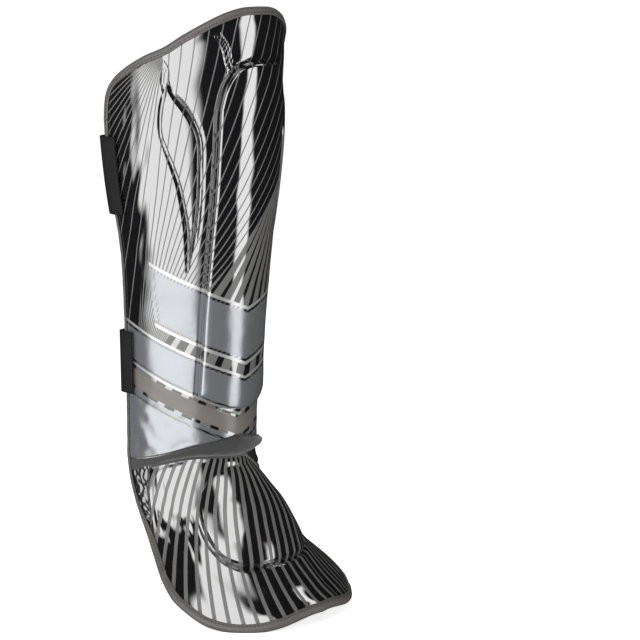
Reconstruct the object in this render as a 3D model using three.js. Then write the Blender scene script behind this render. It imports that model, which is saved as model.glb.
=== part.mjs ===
import * as THREE from 'three';

// A shin and instep guard for kicking sports, in millimetres.
// +Z runs up the leg, the front of the shin faces -Y and the wearer's right is -X.
// The origin is on the axis of the leg at the height of the ankle.

const GAP = 0.3; // air between two pieces that are sewn or glued together
const PAD_GAP = 0.5; // air under a raised pad and under the binding
const EDGE_WALL = 5; // thickness of a wall where the binding grips it
const SHIN_WALL = 11; // foam and covers of the shin, away from the edges
const INSTEP_WALL = 8; // foam and covers of the instep flap, away from the edges
const GUSSET_SINK = 0.8; // the thin gussets lie this far below the skin
const GUSSET_WALL = 3;

const RIDGE_HEIGHT = 6; // how far each raised pad stands off the skin
const LEAF_HEIGHT = 4.5;
const DOME_HEIGHT = 15;
const PAD_RIM = 1.2; // thickness left at the border of a pad
const RIDGE_ROLL = 13; // width over which a pad rises from its border
const LEAF_ROLL = 13;
const DOME_ROLL = 46;

const BINDING_FLANGE = 7;
const BINDING_WALL = 1.2;
const BINDING_ROOM = 0.6; // air between the edge of a wall and the fold of the binding
const BINDING_SLACK = 0.8; // air between a wall and the inner flange of the binding
const BOUND_BAND = 12; // depth of the thin margin along a bound edge
const SEAM_BAND = 9; // depth of the margin along the seams at the ankle

const STRAP_WALL = 2;
const STRAP_LIFT = 3; // middle of the strap above the skin, clear of the binding
const STRAP_TURN = 10; // how far the strap swings clear of the rear edge
const STRAP_BOW = 9; // how far the middle of the strap bows away from the leg

const SECTION_STEPS = 24;
const DEG = Math.PI / 180;

// Sections from the toe to the top of the shin. "along" runs up the front line from the ankle,
// "tilt" is 90 for a level section, "girth" is measured from the front line to one edge,
// "bend" is the angle turned over that girth and "ease" crowds the bend towards the front.
// "roll" is how many degrees the section hangs lower on the wearer's right.
const SECTIONS = [
  { along: -165, frontY: -147.5, frontZ: -120, tilt: 22, girth: 117, bend: 55, ease: 1.55, roll: 4.5 },
  { along: -120, frontY: -110, frontZ: -98, tilt: 38, girth: 113.5, bend: 40, ease: 1.55, roll: 4 },
  { along: -80, frontY: -80, frontZ: -70.5, tilt: 49, girth: 104.5, bend: 46, ease: 1.55, roll: 3 },
  { along: -40, frontY: -55, frontZ: -38, tilt: 63, girth: 100.5, bend: 68, ease: 1.5, roll: 1.2 },
  { along: -12, frontY: -43.5, frontZ: -12, tilt: 80, girth: 109, bend: 87, ease: 1.4, roll: 0.3 },
  { along: 0, frontY: -40.5, frontZ: 0, tilt: 88.5, girth: 112.5, bend: 94, ease: 1.35, roll: 0 },
  { along: 15, frontY: -40.5, frontZ: 15, tilt: 90, girth: 113, bend: 95, ease: 1.35, roll: 0 },
  { along: 60, frontY: -42, frontZ: 60, tilt: 90, girth: 114.5, bend: 95, ease: 1.35, roll: 0 },
  { along: 120, frontY: -45.5, frontZ: 120, tilt: 90, girth: 118.5, bend: 95, ease: 1.35, roll: 0 },
  { along: 180, frontY: -52.5, frontZ: 180, tilt: 90, girth: 127, bend: 95, ease: 1.35, roll: 0 },
  { along: 240, frontY: -60, frontZ: 240, tilt: 90, girth: 142.5, bend: 95, ease: 1.35, roll: 0 },
  { along: 300, frontY: -65, frontZ: 300, tilt: 90, girth: 152, bend: 95, ease: 1.35, roll: 0 },
  { along: 350, frontY: -68.5, frontZ: 350, tilt: 90, girth: 153, bend: 95, ease: 1.35, roll: 0 },
  { along: 395, frontY: -68.5, frontZ: 395, tilt: 90, girth: 153, bend: 95, ease: 1.35, roll: 0 },
];

// Edges of the panels. "across" is 0 on the front line and 1 on an edge.
const TOP_EDGE = [
  { across: 0, along: 391 },
  { across: 0.12, along: 390 },
  { across: 0.25, along: 384 },
  { across: 0.45, along: 368.5 },
  { across: 0.57, along: 357.5 },
  { across: 0.7, along: 349.5 },
  { across: 0.85, along: 337.5 },
  { across: 0.94, along: 327 },
  { across: 0.985, along: 314 },
  { across: 1, along: 296 },
];
const SHIN_HEM = [
  { across: 0, along: 18 },
  { across: 0.21, along: 14.5 },
  { across: 0.4, along: 10.3 },
  { across: 0.6, along: 4 },
  { across: 0.8, along: -1 },
  { across: 1, along: -3 },
];
const LIP_HEM = [
  { across: 0, along: 0 },
  { across: 0.35, along: 1.5 },
  { across: 0.55, along: -1.5 },
  { across: 0.75, along: -6.5 },
  { across: 1, along: -9 },
];
const TOE_EDGE = [
  { across: 0, along: -161 },
  { across: 0.35, along: -155 },
  { across: 0.6, along: -140 },
  { across: 0.8, along: -119 },
  { across: 0.92, along: -98 },
  { across: 0.98, along: -84 },
  { across: 1, along: -70 },
];
// The seam between the gussets and the instep flap, from the right edge to the left edge.
// Where it would rise above the lip, the flap is sewn straight to the lip instead.
const FLAP_SEAM = [
  { side: -1, along: -44 },
  { side: -0.95, along: -36 },
  { side: -0.9, along: -25 },
  { side: -0.84, along: -12.5 },
  { side: -0.78, along: -4 },
  { side: -0.7, along: 2 },
  { side: 0, along: 2 },
  { side: 0.12, along: -2.5 },
  { side: 0.26, along: -10 },
  { side: 0.42, along: -18 },
  { side: 0.7, along: -33 },
  { side: 1, along: -50 },
];

// Borders of the raised pads: "near" and "far" are girths measured from the front line.
const RIDGE_BORDER = [
  { along: 40, near: -41, far: 41 },
  { along: 110, near: -38.5, far: 38.5 },
  { along: 346, near: -38.5, far: 38.5 },
];
const RIDGE_CORNER = [
  { across: 0, drop: 0 },
  { across: 0.3, drop: 0.5 },
  { across: 0.6, drop: 3.5 },
  { across: 0.8, drop: 10 },
  { across: 0.93, drop: 19 },
  { across: 1, drop: 32 },
];
const RIDGE_TOP = 346;
const RIDGE_LOW = 41; // bottom of the ridge pad on the front line
const RIDGE_SWEEP = 15; // rise of its bottom edge towards the two corners
const LEAF_BORDER = [
  { along: 170, near: 53, far: 55 },
  { along: 190, near: 51, far: 56.5 },
  { along: 206, near: 50.2, far: 59 },
  { along: 224, near: 50, far: 63.5 },
  { along: 241, near: 50.4, far: 68.5 },
  { along: 257, near: 51.2, far: 75 },
  { along: 272, near: 52, far: 82 },
  { along: 284, near: 54, far: 87 },
  { along: 297, near: 60, far: 88.5 },
  { along: 307, near: 67, far: 88 },
  { along: 316, near: 75, far: 86.5 },
  { along: 325, near: 82.5, far: 84.5 },
];
const DOME_BORDER = [
  { along: -101, near: -12, far: 12 },
  { along: -97, near: -31, far: 31 },
  { along: -86, near: -45, far: 45 },
  { along: -72, near: -51.5, far: 51.5 },
  { along: -56, near: -53, far: 53 },
  { along: -40, near: -51, far: 51 },
  { along: -29, near: -46, far: 46 },
  { along: -20, near: -37, far: 37 },
  { along: -13, near: -25, far: 25 },
  { along: -8, near: -12, far: 12 },
];

const STRAPS = [
  { name: 'calf_strap_upper', low: 213, high: 281 },
  { name: 'calf_strap_lower', low: 54, high: 109 },
];
// Girth fractions at which each strap lies on the shell: sewn on the right, lapped on the left.
const STRAP_SEWN = [0.9, 0.95, 1];
const STRAP_LAPPED = [1, 0.95, 0.86, 0.76, 0.66];

const SHIN_COLUMNS = [0, 0.08, 0.16, 0.24, 0.32, 0.4, 0.48, 0.56, 0.64, 0.72, 0.79, 0.86, 0.92, 0.96, 1];
const SHIN_ROWS = 19;
const FLAP_COLUMNS = [0, 0.1, 0.2, 0.3, 0.4, 0.5, 0.6, 0.7, 0.79, 0.86, 0.91, 0.945, 0.975, 1];
const FLAP_ROWS = 15;

// A smooth curve through two columns of a table; each slope is taken from the neighbouring rows.
function curve(rows, x, y) {
  const xs = rows.map((row) => row[x]);
  const ys = rows.map((row) => row[y]);
  const last = xs.length - 1;
  const slopes = xs.map((_, i) => {
    const a = Math.max(i - 1, 0);
    const b = Math.min(i + 1, last);
    return (ys[b] - ys[a]) / (xs[b] - xs[a]);
  });
  return (at) => {
    const t = THREE.MathUtils.clamp(at, xs[0], xs[last]);
    let i = 0;
    while (i < last - 1 && t > xs[i + 1]) i += 1;
    const span = xs[i + 1] - xs[i];
    const k = (t - xs[i]) / span;
    const rise = k * k * (3 - 2 * k);
    const leave = k * (1 - k) * (1 - k) * span * slopes[i];
    const arrive = k * k * (k - 1) * span * slopes[i + 1];
    return ys[i] + (ys[i + 1] - ys[i]) * rise + leave + arrive;
  };
}

const frontY = curve(SECTIONS, 'along', 'frontY');
const frontZ = curve(SECTIONS, 'along', 'frontZ');
const tilt = curve(SECTIONS, 'along', 'tilt');
const girth = curve(SECTIONS, 'along', 'girth');
const bend = curve(SECTIONS, 'along', 'bend');
const ease = curve(SECTIONS, 'along', 'ease');
const roll = curve(SECTIONS, 'along', 'roll');
const topEdge = curve(TOP_EDGE, 'across', 'along');
const shinHem = curve(SHIN_HEM, 'across', 'along');
const lipHem = curve(LIP_HEM, 'across', 'along');
const toeEdge = curve(TOE_EDGE, 'across', 'along');
const gussetSeam = curve(FLAP_SEAM, 'side', 'along');
const flapSeam = (side) => Math.min(gussetSeam(side), lipHem(Math.abs(side)) - GAP);

// A point of the skin: the section at "along", followed from the front line to "side" (-1 to 1).
function skinPoint(side, along) {
  const turn = bend(along) * DEG;
  const power = ease(along);
  const reach = Math.abs(side);
  let width = 0;
  let depth = 0;
  for (let k = 0; k < SECTION_STEPS; k += 1) {
    const q = reach * (k + 0.5) / SECTION_STEPS;
    const angle = turn * (1 - Math.max(0, 1 - q) ** power);
    width += Math.cos(angle);
    depth += Math.sin(angle);
  }
  const step = girth(along) * reach / SECTION_STEPS;
  const lean = tilt(along) * DEG;
  const y = frontY(along) + depth * step * Math.sin(lean);
  const x = Math.sign(side) * width * step;
  const z = frontZ(along) - depth * step * Math.cos(lean) + x * Math.tan(roll(along) * DEG);
  return new THREE.Vector3(x, y, z);
}

// The two directions of the skin at a point and its outward normal.
function skinFrame(side, along) {
  const du = 0.002;
  const dw = 0.5;
  const acrossStep = skinPoint(side + du, along).sub(skinPoint(side - du, along)).divideScalar(2 * du);
  const alongStep = skinPoint(side, along + dw).sub(skinPoint(side, along - dw)).divideScalar(2 * dw);
  const normal = acrossStep.clone().cross(alongStep).normalize();
  return { acrossStep, alongStep, normal };
}

function skin(side, along, lift) {
  return skinPoint(side, along).addScaledVector(skinFrame(side, along).normal, lift);
}

// A closed mesh from points and triangles, turned so that its faces look outwards.
function closedBody(points, triangles) {
  let volume = 0;
  for (const [a, b, c] of triangles) {
    volume += points[a].dot(points[b].clone().cross(points[c]));
  }
  const turned = volume < 0 ? triangles.map(([a, b, c]) => [a, c, b]) : triangles;
  const geometry = new THREE.BufferGeometry().setFromPoints(points);
  geometry.setIndex(turned.flat());
  geometry.computeVertexNormals();
  return geometry;
}

// A wall between two grids of points, closed by a rim.
function wall(columns, rows, outer, inner) {
  const points = [];
  for (const face of [outer, inner]) {
    for (let j = 0; j < rows; j += 1) {
      for (let i = 0; i < columns; i += 1) points.push(face(i, j));
    }
  }
  const back = columns * rows;
  const at = (i, j) => j * columns + i;
  const triangles = [];
  for (let j = 0; j < rows - 1; j += 1) {
    for (let i = 0; i < columns - 1; i += 1) {
      const [a, b, c, d] = [at(i, j), at(i + 1, j), at(i + 1, j + 1), at(i, j + 1)];
      triangles.push([a, b, c], [a, c, d]);
      triangles.push([back + a, back + c, back + b], [back + a, back + d, back + c]);
    }
  }
  const border = [];
  for (let i = 0; i < columns - 1; i += 1) border.push([at(i, 0), at(i + 1, 0)]);
  for (let j = 0; j < rows - 1; j += 1) border.push([at(columns - 1, j), at(columns - 1, j + 1)]);
  for (let i = columns - 1; i > 0; i -= 1) border.push([at(i, rows - 1), at(i - 1, rows - 1)]);
  for (let j = rows - 1; j > 0; j -= 1) border.push([at(0, j), at(0, j - 1)]);
  for (const [p, q] of border) triangles.push([q, p, back + p], [q, back + p, back + q]);
  return closedBody(points, triangles);
}

// A skin of quads through rings of points; an open run gets flat ends.
function loft(rings, looped) {
  const size = rings[0].length;
  const points = rings.flat();
  const triangles = [];
  const runs = looped ? rings.length : rings.length - 1;
  for (let r = 0; r < runs; r += 1) {
    const next = (r + 1) % rings.length;
    for (let k = 0; k < size; k += 1) {
      const [a, b] = [r * size + k, r * size + (k + 1) % size];
      const [c, d] = [next * size + (k + 1) % size, next * size + k];
      triangles.push([a, b, c], [a, c, d]);
    }
  }
  if (!looped) {
    const end = (rings.length - 1) * size;
    for (let k = 1; k < size - 1; k += 1) {
      triangles.push([0, k + 1, k], [end, end + k, end + k + 1]);
    }
  }
  return closedBody(points, triangles);
}

const bothSides = (halves) => [...halves.slice(1).reverse().map((half) => -half), ...halves];

// Thickness of a panel: thin in the binding, full a little way in from the bound edges.
function panelWall(full, side, fromEdge) {
  const { smoothstep } = THREE.MathUtils;
  const inward = 1 - smoothstep(Math.abs(side), 0.7, 0.92);
  return EDGE_WALL + (full - EDGE_WALL) * inward * smoothstep(fromEdge, BOUND_BAND, 45);
}

// Rows of a panel from its bound edge to the seam at the ankle: a margin at each end, even steps between.
function rowFrom(bound, seam, row, rows) {
  const way = Math.sign(seam - bound);
  if (row === 0) return bound;
  if (row === rows - 1) return seam;
  const length = Math.abs(seam - bound);
  const first = bound + way * Math.min(BOUND_BAND, 0.3 * length);
  const last = seam - way * Math.min(SEAM_BAND, 0.1 * length);
  return first + (last - first) * (row - 1) / (rows - 3);
}

function shinShell() {
  const sides = bothSides(SHIN_COLUMNS);
  const alongAt = (i, j) => {
    const reach = Math.abs(sides[i]);
    return rowFrom(topEdge(reach), shinHem(reach) + GAP, SHIN_ROWS - 1 - j, SHIN_ROWS);
  };
  const outer = (i, j) => skin(sides[i], alongAt(i, j), 0);
  const inner = (i, j) => {
    const fromTop = topEdge(Math.abs(sides[i])) - alongAt(i, j);
    return skin(sides[i], alongAt(i, j), -panelWall(SHIN_WALL, sides[i], fromTop));
  };
  return wall(sides.length, SHIN_ROWS, outer, inner);
}

function instepShell() {
  const sides = bothSides(FLAP_COLUMNS);
  const alongAt = (i, j) => {
    return rowFrom(toeEdge(Math.abs(sides[i])), flapSeam(sides[i]) - GAP, j, FLAP_ROWS);
  };
  const outer = (i, j) => skin(sides[i], alongAt(i, j), 0);
  const inner = (i, j) => {
    const fromToe = alongAt(i, j) - toeEdge(Math.abs(sides[i]));
    return skin(sides[i], alongAt(i, j), -panelWall(INSTEP_WALL, sides[i], fromToe));
  };
  return wall(sides.length, FLAP_ROWS, outer, inner);
}

// A raised pad on the skin. Its border runs between two girths and between a low and a high end.
function pad({ border, low, high, height, roll, columns, rows, mirror = 1 }) {
  const near = curve(border, 'along', 'near');
  const far = curve(border, 'along', 'far');
  const place = (i, j) => {
    const across = i / (columns - 1);
    const up = (1 - Math.cos(Math.PI * j / (rows - 1))) / 2;
    const [from, to] = [low(across), high(across)];
    const along = from + (to - from) * up;
    const [left, right] = [near(along), far(along)];
    const girthAt = left + (right - left) * across;
    const fromBorder = Math.min(girthAt - left, right - girthAt, along - from, to - along);
    return { side: mirror * girthAt / girth(along), along, fromBorder };
  };
  const outer = (i, j) => {
    const { side, along, fromBorder } = place(i, j);
    const short = 1 - Math.min(1, Math.max(0, fromBorder) / roll);
    return skin(side, along, PAD_GAP + PAD_RIM + (height - PAD_RIM) * (1 - short * short));
  };
  const inner = (i, j) => {
    const { side, along } = place(i, j);
    return skin(side, along, PAD_GAP);
  };
  return wall(columns, rows, outer, inner);
}

function ridgePad() {
  const corner = curve(RIDGE_CORNER, 'across', 'drop');
  return pad({
    border: RIDGE_BORDER,
    low: (across) => RIDGE_LOW + RIDGE_SWEEP * (2 * across - 1) ** 2,
    high: (across) => RIDGE_TOP - corner(Math.abs(2 * across - 1)),
    height: RIDGE_HEIGHT,
    roll: RIDGE_ROLL,
    columns: 13,
    rows: 17,
  });
}

function borderPad(border, height, roll, columns, rows, mirror) {
  const low = () => border[0].along;
  const high = () => border[border.length - 1].along;
  return pad({ border, low, high, height, roll, columns, rows, mirror });
}

// The soft roll below the shin: a rounded bead that swells towards the front.
function ankleLip() {
  const sides = bothSides([0, 0.08, 0.16, 0.24, 0.32, 0.4, 0.48, 0.56, 0.64, 0.72, 0.79, 0.86, 0.92, 0.96, 1]);
  const profile = [
    { down: 0, out: -1 },
    { down: 0, out: 0 },
    { down: 0.3, out: 1 },
    { down: 0.65, out: 1 },
    { down: 0.92, out: 0.35 },
    { down: 1, out: -0.3 },
    { down: 0.9, out: -0.8 },
  ];
  const rings = sides.map((side) => {
    const reach = Math.abs(side);
    const inBinding = THREE.MathUtils.smoothstep(reach, 0.5, 0.92);
    const swell = 3 * (1 - inBinding);
    const thick = EDGE_WALL + 3 * (1 - inBinding);
    const [high, low] = [shinHem(reach), lipHem(reach)];
    return profile.map(({ down, out }) => {
      const lift = out > 0 ? out * swell : out * thick;
      return skin(side, high + (low - high) * down, lift);
    });
  });
  return loft(rings, false);
}

// A thin crescent between the lip and the instep flap, from its tip at the front to the edge.
function ankleGusset(mirror, tip) {
  const reaches = FLAP_COLUMNS.filter((reach) => reach >= tip);
  const rows = 6;
  const sideAt = (i) => mirror * reaches[i];
  const alongAt = (i, j) => {
    const side = sideAt(i);
    const high = lipHem(Math.abs(side)) - GAP;
    const low = flapSeam(side) + GAP;
    return low + (high - low) * j / (rows - 1);
  };
  const outer = (i, j) => skin(sideAt(i), alongAt(i, j), -GUSSET_SINK);
  const inner = (i, j) => skin(sideAt(i), alongAt(i, j), -GUSSET_SINK - GUSSET_WALL);
  return wall(reaches.length, rows, outer, inner);
}

// One binding round the whole outline: up the right edge, over the top, down the left, round the toe.
function edgeBinding() {
  const outline = [];
  const sideStops = [-62, -57, -51, -44, -36, -28, -21, -14, -9, -4, 1, 6, 12, 20, 35, 50, 75, 100];
  sideStops.push(125, 150, 170, 190, 210, 230, 250, 270, 285);
  const topHalf = 24;
  const toeHalf = 17;
  sideStops.forEach((along) => outline.push({ side: -1, along }));
  for (let k = -topHalf; k <= topHalf; k += 1) {
    const side = Math.sin(Math.PI / 2 * k / topHalf);
    outline.push({ side, along: topEdge(Math.abs(side)) });
  }
  [...sideStops].reverse().forEach((along) => outline.push({ side: 1, along }));
  for (let k = toeHalf; k >= -toeHalf; k -= 1) {
    const side = Math.sin(Math.PI / 2 * k / toeHalf);
    outline.push({ side, along: toeEdge(Math.abs(side)) });
  }
  const grip = -EDGE_WALL - BINDING_SLACK;
  const profile = [
    { out: -BINDING_FLANGE, lift: PAD_GAP },
    { out: -BINDING_FLANGE, lift: PAD_GAP + BINDING_WALL * 0.8 },
    { out: -1, lift: PAD_GAP + BINDING_WALL },
    { out: BINDING_ROOM + BINDING_WALL, lift: -0.6 },
    { out: BINDING_ROOM + BINDING_WALL, lift: -EDGE_WALL + 0.6 },
    { out: -1, lift: grip - BINDING_WALL },
    { out: -BINDING_FLANGE, lift: grip - BINDING_WALL * 0.8 },
    { out: -BINDING_FLANGE, lift: grip },
    { out: BINDING_ROOM, lift: grip },
    { out: BINDING_ROOM, lift: PAD_GAP },
  ];
  const count = outline.length;
  const points = outline.map(({ side, along }) => skinPoint(side, along));
  const rings = outline.map(({ side, along }, n) => {
    const frame = skinFrame(side, along);
    const run = points[(n + 1) % count].clone().sub(points[(n + count - 1) % count]).normalize();
    const outward = frame.normal.clone().cross(run).normalize();
    const [e, f, g] = [
      frame.acrossStep.dot(frame.acrossStep),
      frame.acrossStep.dot(frame.alongStep),
      frame.alongStep.dot(frame.alongStep),
    ];
    const [p, q] = [outward.dot(frame.acrossStep), outward.dot(frame.alongStep)];
    const perSide = (p * g - q * f) / (e * g - f * f);
    const perAlong = (q * e - p * f) / (e * g - f * f);
    return profile.map(({ out, lift }) => {
      if (out > 0) {
        return points[n].clone().addScaledVector(outward, out).addScaledVector(frame.normal, lift);
      }
      return skin(side + perSide * out, along + perAlong * out, lift);
    });
  });
  return loft(rings, true);
}

// The middle line of a strap at one height: sewn to the right edge, across the back, lapped on the left.
function strapLine(height) {
  const stops = STRAP_SEWN.map((reach) => skin(-reach, height, STRAP_LIFT));
  const edge = skinPoint(-1, height);
  const { normal } = skinFrame(-1, height);
  const outward = skinPoint(-1, height).sub(skinPoint(-0.97, height)).normalize();
  const turnOut = edge.clone().addScaledVector(outward, STRAP_TURN * 0.75).addScaledVector(normal, 0.5);
  const turnIn = edge.clone().addScaledVector(outward, STRAP_TURN).addScaledVector(normal, -8);
  const flip = new THREE.Vector3(-1, 1, 1);
  const crossing = [-0.5, 0, 0.5].map((part) => {
    const y = turnIn.y + STRAP_BOW * (1 - part * part);
    return new THREE.Vector3(-turnIn.x * part, y, height);
  });
  stops.push(turnOut, turnIn, ...crossing);
  stops.push(turnIn.clone().multiply(flip), turnOut.clone().multiply(flip));
  STRAP_LAPPED.forEach((reach) => stops.push(skin(reach, height, STRAP_LIFT)));
  return new THREE.CatmullRomCurve3(stops);
}

function calfStrap({ low, high }) {
  const columns = 45;
  const rows = 4;
  const lines = [];
  for (let j = 0; j < rows; j += 1) lines.push(strapLine(low + (high - low) * j / (rows - 1)));
  const up = new THREE.Vector3(0, 0, 1);
  const place = (i, j, lift) => {
    const t = i / (columns - 1);
    const away = lines[j].getTangent(t).cross(up).normalize();
    return lines[j].getPoint(t).addScaledVector(away, -lift);
  };
  return wall(columns, rows, (i, j) => place(i, j, STRAP_WALL / 2), (i, j) => place(i, j, -STRAP_WALL / 2));
}

const guard = new THREE.Group();
guard.name = 'shin_instep_guard';

function addPiece(name, geometry, color, roughness) {
  const material = new THREE.MeshStandardMaterial({ color, roughness, metalness: 0 });
  material.name = name;
  const mesh = new THREE.Mesh(geometry, material);
  mesh.name = name;
  guard.add(mesh);
}

const VINYL = 0x17171a;
const FABRIC = 0x3c3c3e;
const TRIM = 0x4a4846;
const WEBBING = 0x1c1c1e;

addPiece('shin_shell', shinShell(), VINYL, 0.15);
addPiece('shin_ridge_pad', ridgePad(), VINYL, 0.15);
addPiece('side_pad_right', borderPad(LEAF_BORDER, LEAF_HEIGHT, LEAF_ROLL, 8, 16, -1), VINYL, 0.15);
addPiece('side_pad_left', borderPad(LEAF_BORDER, LEAF_HEIGHT, LEAF_ROLL, 8, 16, 1), VINYL, 0.15);
addPiece('ankle_lip', ankleLip(), FABRIC, 0.9);
addPiece('ankle_gusset_right', ankleGusset(-1, 0.79), VINYL, 0.3);
addPiece('ankle_gusset_left', ankleGusset(1, 0.1), VINYL, 0.3);
addPiece('instep_shell', instepShell(), VINYL, 0.15);
addPiece('instep_dome_pad', borderPad(DOME_BORDER, DOME_HEIGHT, DOME_ROLL, 17, 16, 1), VINYL, 0.15);
addPiece('edge_binding', edgeBinding(), TRIM, 0.6);
STRAPS.forEach((strap) => addPiece(strap.name, calfStrap(strap), WEBBING, 0.85));

export default guard;
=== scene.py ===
# %% [markdown]
# # A shin and instep guard, dressed in Blender
# The imported solids come in first and stay where they are. Everything that follows is made around
# them, in metres, in the same frame.

# %% Load the imported guard
import math

import bpy
import numpy as np
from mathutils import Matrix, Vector


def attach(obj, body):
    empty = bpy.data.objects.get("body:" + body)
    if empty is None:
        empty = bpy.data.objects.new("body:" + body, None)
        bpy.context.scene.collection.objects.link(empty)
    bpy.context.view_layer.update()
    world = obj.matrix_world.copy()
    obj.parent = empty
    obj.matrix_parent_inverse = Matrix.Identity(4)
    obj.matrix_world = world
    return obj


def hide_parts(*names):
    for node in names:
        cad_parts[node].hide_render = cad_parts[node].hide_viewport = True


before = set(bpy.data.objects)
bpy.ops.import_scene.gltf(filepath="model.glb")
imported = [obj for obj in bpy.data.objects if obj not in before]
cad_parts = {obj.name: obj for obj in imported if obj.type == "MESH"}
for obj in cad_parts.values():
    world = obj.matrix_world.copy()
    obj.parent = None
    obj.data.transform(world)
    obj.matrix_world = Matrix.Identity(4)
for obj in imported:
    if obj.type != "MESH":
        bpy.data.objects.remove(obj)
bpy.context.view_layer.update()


# %% [markdown]
# ## The skin that every piece follows
# The real guard is one bent sheet: a shin panel and an instep flap that hang together. It could be
# sculpted by hand, but every panel, pad and edge has to sit on the same surface, so one function
# gives that surface. "side" runs from -1 to 1 across the guard and "along" runs up its front line
# in millimetres. The table of sections is the one that the solids were made from.

# %% Smooth curves through a table
def curve(rows, x=0, y=1):
    xs = np.array([row[x] for row in rows], float)
    ys = np.array([row[y] for row in rows], float)
    index = np.arange(len(xs))
    before = np.maximum(index - 1, 0)
    after = np.minimum(index + 1, len(xs) - 1)
    slopes = (ys[after] - ys[before]) / (xs[after] - xs[before])

    def at(value):
        t = np.clip(value, xs[0], xs[-1])
        i = np.searchsorted(xs[1:-1], t, side="left")
        span = xs[i + 1] - xs[i]
        k = (t - xs[i]) / span
        rise = k * k * (3 - 2 * k)
        leave = k * (1 - k) ** 2 * span * slopes[i]
        arrive = k * k * (k - 1) * span * slopes[i + 1]
        return ys[i] + (ys[i + 1] - ys[i]) * rise + leave + arrive

    return at


def smoothstep(value, low, high):
    t = np.clip((value - low) / (high - low), 0, 1)
    return t * t * (3 - 2 * t)


# %% The sections and edges of the guard
# along, front y, front z, tilt, girth to one edge, bend, ease, roll
SECTIONS = [
    (-165, -147.5, -120, 22, 117, 55, 1.55, 4.5),
    (-120, -110, -98, 38, 113.5, 40, 1.55, 4),
    (-80, -80, -70.5, 49, 104.5, 46, 1.55, 3),
    (-40, -55, -38, 63, 100.5, 68, 1.5, 1.2),
    (-12, -43.5, -12, 80, 109, 87, 1.4, 0.3),
    (0, -40.5, 0, 88.5, 112.5, 94, 1.35, 0),
    (15, -40.5, 15, 90, 113, 95, 1.35, 0),
    (60, -42, 60, 90, 114.5, 95, 1.35, 0),
    (120, -45.5, 120, 90, 118.5, 95, 1.35, 0),
    (180, -52.5, 180, 90, 127, 95, 1.35, 0),
    (240, -60, 240, 90, 142.5, 95, 1.35, 0),
    (300, -65, 300, 90, 152, 95, 1.35, 0),
    (350, -68.5, 350, 90, 153, 95, 1.35, 0),
    (395, -68.5, 395, 90, 153, 95, 1.35, 0),
]
front_y, front_z, tilt, girth, bend, ease, roll = [curve(SECTIONS, 0, k) for k in range(1, 8)]

top_edge = curve([(0, 391), (0.12, 390), (0.25, 384), (0.45, 368.5), (0.57, 357.5), (0.7, 349.5),
                  (0.85, 337.5), (0.94, 327), (0.985, 314), (1, 296)])
shin_hem = curve([(0, 18), (0.21, 14.5), (0.4, 10), (0.6, 3.2), (0.8, -0.8), (1, -2.2)])
lip_hem = curve([(0, 0), (0.35, 1.5), (0.55, -1), (0.75, -4.2), (1, -7)])
toe_edge = curve([(0, -161), (0.35, -155), (0.6, -140), (0.8, -119), (0.92, -98), (0.98, -84),
                  (1, -70)])
gusset_seam = curve([(-1, -44), (-0.95, -36), (-0.9, -25), (-0.84, -12.5), (-0.78, -4), (-0.7, 2),
                     (0, 2), (0.12, -2.5), (0.26, -10), (0.42, -18), (0.7, -33), (1, -50)])
GAP = 0.3


def flap_seam(side):
    return np.minimum(gusset_seam(side), lip_hem(np.abs(side)) - GAP)


print("height of the skin:", top_edge(0.0) - toe_edge(0.0), "mm along the front line")

# %% Points and normals of the skin
SECTION_STEPS = 24


def skin_point(side, along):
    side, along = np.broadcast_arrays(np.asarray(side, float), np.asarray(along, float))
    turn, power, reach = np.radians(bend(along)), ease(along), np.abs(side)
    width, depth = np.zeros(side.shape), np.zeros(side.shape)
    for k in range(SECTION_STEPS):
        q = reach * (k + 0.5) / SECTION_STEPS
        angle = turn * (1 - np.maximum(0, 1 - q) ** power)
        width += np.cos(angle)
        depth += np.sin(angle)
    step = girth(along) * reach / SECTION_STEPS
    lean = np.radians(tilt(along))
    x = np.sign(side) * width * step
    y = front_y(along) + depth * step * np.sin(lean)
    z = front_z(along) - depth * step * np.cos(lean) + x * np.tan(np.radians(roll(along)))
    return np.stack([x, y, z], -1)


def unit(vectors):
    return vectors / np.linalg.norm(vectors, axis=-1, keepdims=True)


def skin_frame(side, along):
    across = (skin_point(side + 0.002, along) - skin_point(side - 0.002, along)) / 0.004
    up = skin_point(side, along + 0.5) - skin_point(side, along - 0.5)
    return across, up, unit(np.cross(across, up))


def skin(side, along, lift):
    normal = skin_frame(side, along)[2]
    return skin_point(side, along) + normal * np.asarray(lift, float)[..., None]


print("front of the ankle:", skin(0.0, 0.0, 0.0).round(1), "mm")

# %% [markdown]
# ## From grids to meshes
# A panel has an outside that shows every groove, and an inside that is plain. A fine grid for both
# would double the faces for nothing, so the inside is four times coarser, and the faces of the rim
# join four fine edges to one coarse edge. Each panel also carries its flat coordinates, girth and
# height in metres, in a UV layer, so that one print runs on over the panel and its pads.

# %% Grid builders
COARSE = 4
PRINT_LAYER = "flat_cut"


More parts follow.
